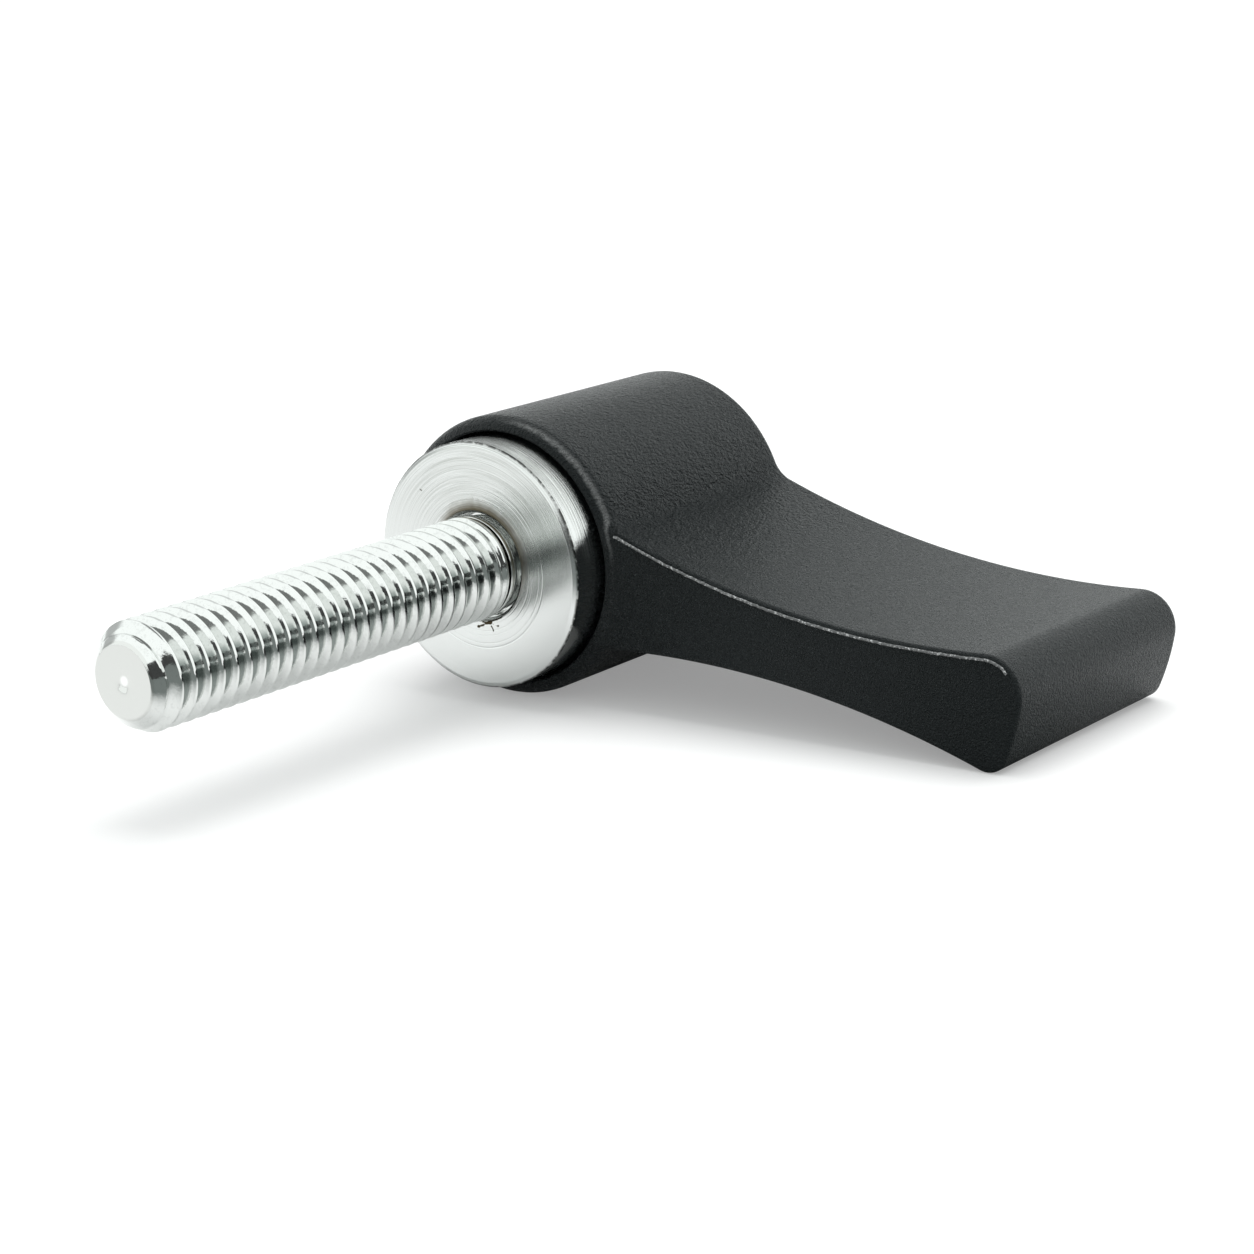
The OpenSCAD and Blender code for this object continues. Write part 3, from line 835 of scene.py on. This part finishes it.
def flash_highlight_finish():
    """The flash ridge, where the coating is thin and rubbed to grey, with a painted highlight: its high
    spots are painted bright grey.
    """
    material, tree, shader = finish("rubbed_flash", Specular_IOR_Level=0.5)
    grain = use(tree, "grain", use(tree, "place"), Size=0.15)
    connect(tree, shader, Base_Color=blend(tree, grain["Mask"], FLASH_DARK, FLASH_RUBBED_HIGHLIGHT),
            Roughness=ramp(tree, grain["Height"], 0.3, 0.7, 0.45, 0.3))
    return material


def turned_steel():
    """Nickel-plated steel with turned faces, grime round the stud, nicks along the rim's edge, and a painted
    dark reflection in the tool marks.
    """
    material, tree, shader = finish("turned_steel", Metallic=1.0, Anisotropic=0.6)
    at = use(tree, "place")
    marks = use(tree, "turned", at, Feed=0.06)
    fine = use(tree, "grain", at, Size=0.45, Wave=0.5)
    broad = use(tree, "grain", at, Size=1.1, Wave=0.6)
    pits = use(tree, "specks", at, Spacing=1.6, Dot=0.08, Share=0.12)
    on_face = ramp(tree, at["Along"], 0.02, 0.1, 1.0, 0.0)
    cuts = 0.0
    for middle, width, depth in TOOL_RINGS:
        ring = use(tree, "ring", at, Middle=middle, Width=width)
        cuts = calc(tree, "MULTIPLY_ADD", ring["Mask"], depth * RING_DEPTH, cuts)
    # The tool's marks are painted darker, most on the right: a painted dark reflection, where the face
    # mirrors the dark side of the room
    dark_mirror_side = ramp(tree, nearness(tree, at["Turn"], 0.0), -0.1, 0.9, 0.08, 1.0)
    marks_and_dark_reflection = calc(tree, "MULTIPLY", ramp(tree, marks["Height"], 0.65, 0.35, smooth=False), dark_mirror_side)
    steel = blend(tree, marks_and_dark_reflection, NICKEL, NICKEL_DARK_REFLECTION)
    # Grime creeps out of the hole, most of it at the top right
    right = ramp(tree, nearness(tree, at["Turn"], 0.5), -0.5, 0.9, 0.15, 1.0)
    uneven = calc(tree, "MULTIPLY", right, ramp(tree, broad["Height"], 0.0, 1.0, 0.3, 0.7))
    reach = calc(tree, "SUBTRACT", calc(tree, "MULTIPLY_ADD", uneven, 1.7, MOUTH_R + 0.15), MOUTH_R)
    beyond = calc(tree, "DIVIDE", calc(tree, "SUBTRACT", at["Radius"], MOUTH_R), reach)
    near_hole = ramp(tree, calc(tree, "SUBTRACT", 1.0, beyond), 0.0, 0.9)
    grime = product(tree, near_hole, right, on_face)
    darkened = blend(tree, calc(tree, "MULTIPLY", grime, 0.95), steel, GRIME)
    pitted = blend(tree, calc(tree, "MULTIPLY", pits["Mask"], 0.8), darkened, PIT)
    x, _, z = split(tree, at["Place"])
    burr = 0.0
    for from_x, from_z, to_x, to_z, width in BURRS:
        stroke = use(tree, "stroke", X=x, Z=z, From_X=from_x, From_Z=from_z, To_X=to_x, To_Z=to_z,
                     Width=width, Wobble=fine["Height"])
        burr = calc(tree, "MAXIMUM", stroke["Mask"], burr)
    burred = blend(tree, calc(tree, "MULTIPLY", burr, on_face), pitted, BURR)
    from_edge = calc(tree, "ABSOLUTE", calc(tree, "SUBTRACT", at["Along"], BEVEL_H + RIM_EDGE / 2))
    on_edge = ramp(tree, from_edge, RIM_EDGE * 0.6, RIM_EDGE * 1.6, 1.0, 0.0)
    edge = use(tree, "ring", at, Middle=COLLAR_R, Width=0.3)
    nick = product(tree, edge["Mask"], on_edge, ramp(tree, fine["Height"], 0.42, 0.52, 0.35, 1.0))
    nicked = blend(tree, nick, burred, NICK)
    feed = product(tree, marks["Height"], dark_mirror_side, 1.2)
    # The lines spread the reflections outwards on the face and lengthwise on the side
    on_side = ramp(tree, at["Along"], BEVEL_H, BEVEL_H + RIM_EDGE)
    off_side = calc(tree, "SUBTRACT", 1.0, on_side)
    spread = combine(tree, calc(tree, "MULTIPLY", x, off_side), on_side,
                     calc(tree, "MULTIPLY", z, off_side))
    outwards = put(tree, "ShaderNodeVectorTransform", [spread], vector_type="NORMAL",
                   convert_from="OBJECT", convert_to="WORLD").outputs[0]
    smooth_side = ramp(tree, at["Along"], 0.15, 0.3, 0.24, 0.1)
    connect(tree, shader, Base_Color=nicked, Tangent=outwards,
            Roughness=calc(tree, "MULTIPLY_ADD", grime, 0.25, smooth_side),
            Normal=bump(tree, calc(tree, "SUBTRACT", feed, cuts), 0.02))
    return material


def plated_steel():
    """Bright zinc plating on a rolled thread, darker in its roots, with painted dark reflections on the
    lower flanks and painted shade in the undercut.
    """
    material, tree, shader = finish("plated_steel", Metallic=1.0)
    at = use(tree, "place")
    fine = use(tree, "grain", at, Size=0.35, Stretch=0.6, Wave=0.3)
    pits = use(tree, "specks", at, Spacing=1.4, Dot=0.05, Share=0.12)
    zinc = blend(tree, fine["Mask"], ZINC, ZINC_HIGH)
    pitted = blend(tree, calc(tree, "MULTIPLY", pits["Mask"], 0.7), zinc, ZINC_PIT)
    root_r = CREST_R - THREAD_DEPTH
    in_root = ramp(tree, at["Radius"], root_r, root_r + 0.12, 1.0, 0.0)
    # Low on the right, the flanks that face the collar are painted darker, a painted dark reflection, and
    # the flanks across mirror them; the roots are a little darker too
    facing = split(tree, put(tree, "ShaderNodeTexCoord").outputs["Normal"])["Y"]
    z = split(tree, at["Place"])["Z"]
    painted_dark_flanks = product(tree, ramp(tree, facing, 0.3, 0.6), ramp(tree, z, 0.7, 1.3, 1.0, 0.0),
                   ramp(tree, at["Radius"], CREST_R - 0.2, CREST_R - 0.05, 1.0, 0.0))
    root_and_flank_dark = calc(tree, "MULTIPLY", ramp(tree, at["Along"], TIP_Y + 0.6, TIP_Y + 1.6),
                calc(tree, "MAXIMUM", calc(tree, "MULTIPLY", in_root, 0.3), painted_dark_flanks))
    flank_darkened = blend(tree, calc(tree, "MULTIPLY", root_and_flank_dark, 0.85), pitted, ZINC_DARKENED)
    # The tip's face is a little greyer, with a painted highlight: a bright spot where the centre drill
    # stopped
    on_tip = ramp(tree, at["Along"], TIP_Y + 0.1, TIP_Y + 0.14, 1.0, 0.0)
    painted_spot = calc(tree, "MULTIPLY", ramp(tree, at["Radius"], 0.15, 0.35, 1.0, 0.0), on_tip)
    tipped = blend(tree, painted_spot, blend(tree, on_tip, flank_darkened, TIP_FACE), TIP_HIGHLIGHT)
    # Painted shade in the undercut groove behind the thread
    in_undercut = calc(tree, "MULTIPLY", ramp(tree, at["Along"], UNDERCUT_Y - 0.1, UNDERCUT_Y + 0.1),
                       ramp(tree, at["Along"], SHOULDER_Y - 0.02, SHOULDER_Y + 0.02, 1.0, 0.0))
    darkened = blend(tree, calc(tree, "MULTIPLY", in_undercut, 0.85), tipped, UNDERCUT_SHADE)
    connect(tree, shader, Base_Color=darkened, Roughness=ramp(tree, fine["Height"], 0.3, 0.7, 0.05, 0.11),
            Normal=bump(tree, fine["Height"], 0.01, 0.6))
    return material


def screw_steel():
    """Turned and zinc-plated steel of the retaining screw."""
    material, tree, shader = finish("screw_steel", Metallic=1.0)
    at = use(tree, "place")
    marks = use(tree, "turned", at, Feed=0.12)
    fine = use(tree, "grain", at, Size=0.3, Wave=0.4)
    connect(tree, shader, Base_Color=blend(tree, marks["Tone"], (0.5, 0.505, 0.5), (0.66, 0.665, 0.66)),
            Roughness=ramp(tree, fine["Height"], 0.3, 0.7, 0.25, 0.42),
            Normal=bump(tree, marks["Height"], 0.006, 0.7))
    return material


def spring_wire():
    """Drawn spring wire with a film of oil."""
    material, tree, shader = finish("spring_wire", Metallic=1.0)
    fine = use(tree, "grain", use(tree, "place"), Size=0.12, Stretch=0.5)
    connect(tree, shader, Base_Color=blend(tree, fine["Mask"], (0.42, 0.42, 0.41), (0.55, 0.55, 0.54)),
            Roughness=ramp(tree, fine["Height"], 0.3, 0.7, 0.2, 0.35),
            Normal=bump(tree, fine["Height"], 0.004))
    return material


# Pieces

def make_handle(material, teeth_tree):
    """The cast lever handle with its recess, toothed bore, web hole and spring bore."""
    handle = handle_blank(material)
    floor_y = COLLAR_H + SEAT_GAP
    front_r = RECESS_R + BORE_CHAMFER
    rear_r = SPRING_BORE_R + BORE_CHAMFER
    tool = lathe("bore_tool", [
        (0, HUB_Y - PAST), (front_r, HUB_Y - PAST), (front_r, HUB_Y), (RECESS_R, HUB_Y + BORE_CHAMFER),
        (RECESS_R, floor_y), (WEB_R, floor_y), (WEB_R, TEETH_END_Y), (RELIEF_R, TEETH_END_Y),
        (RELIEF_R, WEB_Y), (WEB_R, WEB_Y), (WEB_R, SPRING_Y), (SPRING_BORE_R, SPRING_Y),
        (SPRING_BORE_R, REAR_Y - BORE_CHAMFER), (rear_r, REAR_Y), (rear_r, REAR_Y + PAST),
        (0, REAR_Y + PAST)], 180)
    boolean(handle, tool, "DIFFERENCE")
    teeth = grown("teeth_tool", teeth_tree, {
        "Teeth": TOOTH_COUNT, "Tip Radius": TOOTH_R + TOOTH_GAP,
        "Root Radius": TOOTH_R - TOOTH_DEPTH + TOOTH_GAP, "Start": floor_y - TOOTH_LEAD,
        "End": TEETH_END_Y + OVERLAP, "Material": material})
    turn_outwards(teeth.data)
    boolean(handle, teeth, "DIFFERENCE")
    soften(handle)
    return handle


def make_flash(material):
    """The ridge that the die leaves along the top of the arm's front edge."""
    rim = [station_point(s, HUB_Y + s[4] * FLASH_BACK, s[4] * FLASH_INSET) for s in outline()]
    kept = [z > FLASH_Z - FLASH_FALL * abs(x - FLASH_MIDDLE_X) and x > FLASH_X for x, _, z in rim]
    pairs = [(i, (i + 1) % len(rim)) for i in range(len(rim))]
    edges = [pair for pair in pairs if kept[pair[0]] and kept[pair[1]]]
    mesh = bpy.data.meshes.new("flash_ridge")
    mesh.from_pydata([[c * MM for c in p] for p in rim], edges, [])
    return grown("flash_ridge", flash_tree(), {
        "Width": 0.16, "Step": 0.09, "Wander": 0.12, "Seed": 3.0, "Material": material},
        add_object("flash_ridge", mesh))


def make_insert(material, teeth_tree):
    """The collar with its toothed shank and the plain pilot behind it."""
    face = rounded([(MOUTH_R, MOUTH_LEN), (MOUTH_R, MOUTH_CHAMFER), (MOUTH_R + MOUTH_CHAMFER, 0),
                    (COLLAR_R - BEVEL_W - RIM_EDGE, 0), (COLLAR_R - RIM_EDGE, BEVEL_H),
                    (COLLAR_R, BEVEL_H + RIM_EDGE), (COLLAR_R, COLLAR_H), (PILOT_R, COLLAR_H)],
                   INSERT_EDGE, 3)
    bore = SHANK_R + JOINT_GAP
    rest = [(PILOT_R, INSERT_END_Y), (bore, INSERT_END_Y), (bore, MOUTH_LEN), (MOUTH_R, MOUTH_LEN)]
    body = lathe("collar_insert_body", face + rest, 240, material)
    teeth = grown("teeth", teeth_tree, {
        "Teeth": TOOTH_COUNT, "Tip Radius": TOOTH_R, "Root Radius": TOOTH_R - TOOTH_DEPTH,
        "Start": COLLAR_H - OVERLAP, "End": TEETH_END_Y, "Material": material})
    inside_y = 0.5 * (MOUTH_LEN + COLLAR_H)
    hollow = lathe("hollow", [(0, inside_y), (bore, inside_y), (bore, INSERT_END_Y + PAST),
                              (0, INSERT_END_Y + PAST)], 240)
    turn_outwards(teeth.data)
    boolean(teeth, hollow, "DIFFERENCE")
    boolean(body, teeth, "UNION")
    soften(body)
    return body


def make_stud(material):
    """The stud: rounded tip, rolled thread, undercut, shoulder and the shank inside the insert."""
    dimple = [(DIMPLE_R * t, TIP_Y + DIMPLE_DEPTH * math.cos(math.pi * t / 2) ** 2
               - NIB_HEIGHT * max(0, 1 - 2.4 * t) ** 2) for t in (i / 24 for i in range(25))]
    face_r = CREST_R - TIP_CHAMFER
    end = rounded([(DIMPLE_R + 0.1, TIP_Y), (face_r, TIP_Y), (CONE_R, CONE_Y)], TIP_ROUND, 8)
    root = rounded([(CREST_R, UNDERCUT_Y - 0.2), (CREST_R, UNDERCUT_Y), (UNDERCUT_R, UNDERCUT_Y),
                    (UNDERCUT_R, SHOULDER_Y), (SHOULDER_R, SHOULDER_Y), (SHOULDER_R, 0), (NECK_R, 0),
                    (NECK_R, MOUTH_LEN), (SHANK_R, MOUTH_LEN), (SHANK_R, INSERT_END_Y),
                    (TAP_R, INSERT_END_Y), (TAP_R, TAP_Y), (0, TAP_Y)], STUD_EDGE, 3)
    thread = grown("thread", helical_thread_tree(), {
        "Crest Radius": CREST_R, "Depth": THREAD_DEPTH, "Pitch": PITCH, "Phase": THREAD_PHASE,
        "Start": CONE_Y, "Start Radius": CONE_R, "End": root[0][1], "Run Out": RUN_OUT,
        "Segments": STUD_SEGMENTS, "Rows per Pitch": ROWS_PER_PITCH, "Material": material})
    tip = lathe("tip", dimple + end, STUD_SEGMENTS)
    stud = joined("plated_stud", [thread, tip, lathe("root", root, STUD_SEGMENTS)])
    soften(stud, 50)
    return stud


def make_spring(material):
    spring = grown("coil_spring", coil_spring_tree(), {
        "Coil Radius": COIL_R, "Wire Radius": WIRE_R, "Start": SPRING_Y + SEAT_GAP + WIRE_R,
        "End": HEAD_Y - SEAT_GAP - WIRE_R, "Coils": float(COILS), "Closed Rise": 2 * WIRE_R + SEAT_GAP,
        "Points": 240, "Material": material})
    turn_outwards(spring.data)
    return spring


def make_screw(material):
    """The shoulder screw that holds the handle and the spring."""
    top = HEAD_Y + HEAD_H
    end_y = INSERT_END_Y - SCREW_LEN
    body = lathe("shoulder_screw", rounded([
        (0, end_y), (SCREW_R, end_y), (SCREW_R, INSERT_END_Y), (SLIDE_R, INSERT_END_Y), (SLIDE_R, HEAD_Y),
        (HEAD_R, HEAD_Y), (HEAD_R, top - HEAD_CHAMFER), (HEAD_R - HEAD_CHAMFER, top), (0, top)],
        SCREW_EDGE, 4), 128, material)
    corner_r = SOCKET_W / 2 / math.cos(math.radians(30))
    floor_y = top - SOCKET_DEPTH
    socket = lathe("socket_tool", [(0, floor_y), (corner_r, floor_y), (corner_r, top + PAST),
                                   (0, top + PAST)], 6)
    boolean(body, socket, "DIFFERENCE")
    soften(body)
    return body


# Stage

def make_camera():
    data = bpy.data.cameras.new("camera")
    data.lens = LENS_MM
    data.sensor_width = SENSOR_MM
    data.clip_start = 0.01
    data.clip_end = 20
    camera = add_object("camera", data)
    back = -Vector(FORWARD).normalized()
    right = Vector(UP).cross(back).normalized()
    up = back.cross(right)
    camera.matrix_world = Matrix((
        (right.x, up.x, back.x, EYE[0] * MM), (right.y, up.y, back.y, EYE[1] * MM),
        (right.z, up.z, back.z, EYE[2] * MM), (0, 0, 0, 1)))
    bpy.context.scene.camera = camera


def make_world():
    """White all round to the camera, softer on the part; mirrors see a studio with dark places in it."""
    world = bpy.data.worlds.new("studio")
    bpy.context.scene.world = world
    world.use_nodes = True
    tree = world.node_tree
    tree.nodes.clear()
    rays = put(tree, "ShaderNodeLightPath").outputs
    shiny = calc(tree, "MAXIMUM", rays["Is Glossy Ray"], rays["Is Transmission Ray"])
    towards = put(tree, "ShaderNodeTexCoord").outputs["Generated"]
    facing = put(tree, "ShaderNodeVectorMath", {0: towards, 1: tuple(-c for c in FORWARD)},
                 operation="DOT_PRODUCT").outputs["Value"]
    x, y, z = split(tree, towards)
    # The room behind the camera is dark, and so is the gap between the table and the lamps in front
    camera_side = ramp(tree, facing, 0.955, 0.97)
    gap = product(tree, ramp(tree, z, 0.15, 0.2, 1.0, 0.0), ramp(tree, y, 0.3, 0.6, 1.0, 0.0),
                  ramp(tree, x, -0.1, 0.1))
    dark = ramp(tree, calc(tree, "MAXIMUM", camera_side, gap), 0.0, 1.0, 1.0, 0.05, smooth=False)
    # No light comes down from right above the part
    overhead = calc(tree, "MULTIPLY", ramp(tree, z, 0.85, 0.93), ramp(tree, y, -0.5, -0.42))
    ceiling = ramp(tree, overhead, 0.0, 1.0, 1.25, 0.28, smooth=False)
    # The backdrop and the wall on the left are pale
    pale = product(tree, ramp(tree, z, 0.1, 0.3), ramp(tree, x, -0.4, -0.28, 1.0, 0.0),
                   ramp(tree, y, 0.05, 0.35))
    wall = calc(tree, "MULTIPLY", ramp(tree, x, -0.95, -0.8, 1.0, 0.0), ramp(tree, z, 0.0, 0.15))
    side = calc(tree, "MULTIPLY", ramp(tree, pale, 0.0, 1.0, 1.0, 0.66),
                ramp(tree, wall, 0.0, 1.0, 1.0, 0.45))
    mirrored = product(tree, ceiling, side, dark)
    seen = rays["Is Camera Ray"]
    soft = put(tree, "ShaderNodeMix", {"Factor": shiny, "A": 0.75, "B": mirrored}).outputs["Result"]
    level = put(tree, "ShaderNodeMix", {"Factor": seen, "A": soft, "B": 1.0}).outputs["Result"]
    tint = blend(tree, seen, LAMP_LIGHT, WHITE)
    light = put(tree, "ShaderNodeBackground", {"Color": tint, "Strength": level})
    connect(tree, put(tree, "ShaderNodeOutputWorld"), Surface=light.outputs[0])


def make_floor():
    """A pale floor that stays white to the camera and keeps a soft shadow."""
    corners = [(x * FLOOR_SIZE, y * FLOOR_SIZE, FLOOR_Z) for x, y in ((-1, -1), (1, -1), (1, 1), (-1, 1))]
    floor = mesh_object("floor", corners, [[0, 1, 2, 3]])
    material = bpy.data.materials.new("pale_floor")
    material.use_nodes = True
    tree = material.node_tree
    tree.nodes.clear()
    rays = put(tree, "ShaderNodeLightPath").outputs
    seen = rays["Is Camera Ray"]
    # Mirrors see the light on the table fall off in front, towards the camera
    place = put(tree, "ShaderNodeTexCoord").outputs["Object"]
    ahead = put(tree, "ShaderNodeVectorMath", {0: place, 1: (0.8, -0.35, 0.0)},
                operation="DOT_PRODUCT").outputs["Value"]
    y = split(tree, place)["Y"]
    falling = calc(tree, "MULTIPLY", ramp(tree, ahead, 0.012, 0.024), ramp(tree, y, 0.0, 0.02, 1.0, 0.0))
    lit = blend(tree, falling, (0.84, 0.84, 0.84), (0.15, 0.165, 0.16))
    table = blend(tree, rays["Is Glossy Ray"], (0.72, 0.72, 0.72), lit)
    paint = blend(tree, seen, table, (0.97, 0.97, 0.97))
    matt = put(tree, "ShaderNodeBsdfDiffuse", {"Color": paint}).outputs[0]
    white = put(tree, "ShaderNodeEmission", {"Color": (1, 1, 1, 1), "Strength": 1.0}).outputs[0]
    mixed = put(tree, "ShaderNodeMixShader", [calc(tree, "MULTIPLY", seen, 0.28), matt, white])
    connect(tree, put(tree, "ShaderNodeOutputMaterial"), Surface=mixed.outputs[0])
    floor.data.materials.append(material)


def make_lamp(name, place, target, size, watts):
    data = bpy.data.lights.new(name, "AREA")
    data.shape = "DISK"
    data.size = size
    data.energy = watts
    lamp = add_object(name, data)
    lamp.location = place
    lamp.visible_glossy = False
    lamp.rotation_mode = "QUATERNION"
    lamp.rotation_quaternion = (Vector(target) - Vector(place)).to_track_quat("-Z", "Y")


make_camera()
make_world()
make_floor()
make_lamp("overhead", (0.05, 0.25, 0.8), (0.01, 0, 0), 1.0, 6.5)

coating = black_coating()
turned = turned_steel()
plated = plated_steel()
toothed_bar = toothed_bar_tree()

handle = make_handle(coating, toothed_bar)
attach(handle, "handle")
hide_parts("lever_handle")

flash = make_flash(flash_highlight_finish())
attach(flash, "handle")

insert = make_insert(turned, toothed_bar)
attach(insert, "stud")
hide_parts("collar_insert")

stud = make_stud(plated)
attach(stud, "stud")
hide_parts("threaded_stud")

screw = make_screw(screw_steel())
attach(screw, "stud")
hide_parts("retaining_screw")

spring = make_spring(spring_wire())
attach(spring, "stud")
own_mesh(spring)
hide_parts("return_spring")

bpy.context.scene.view_settings.view_transform = "Standard"
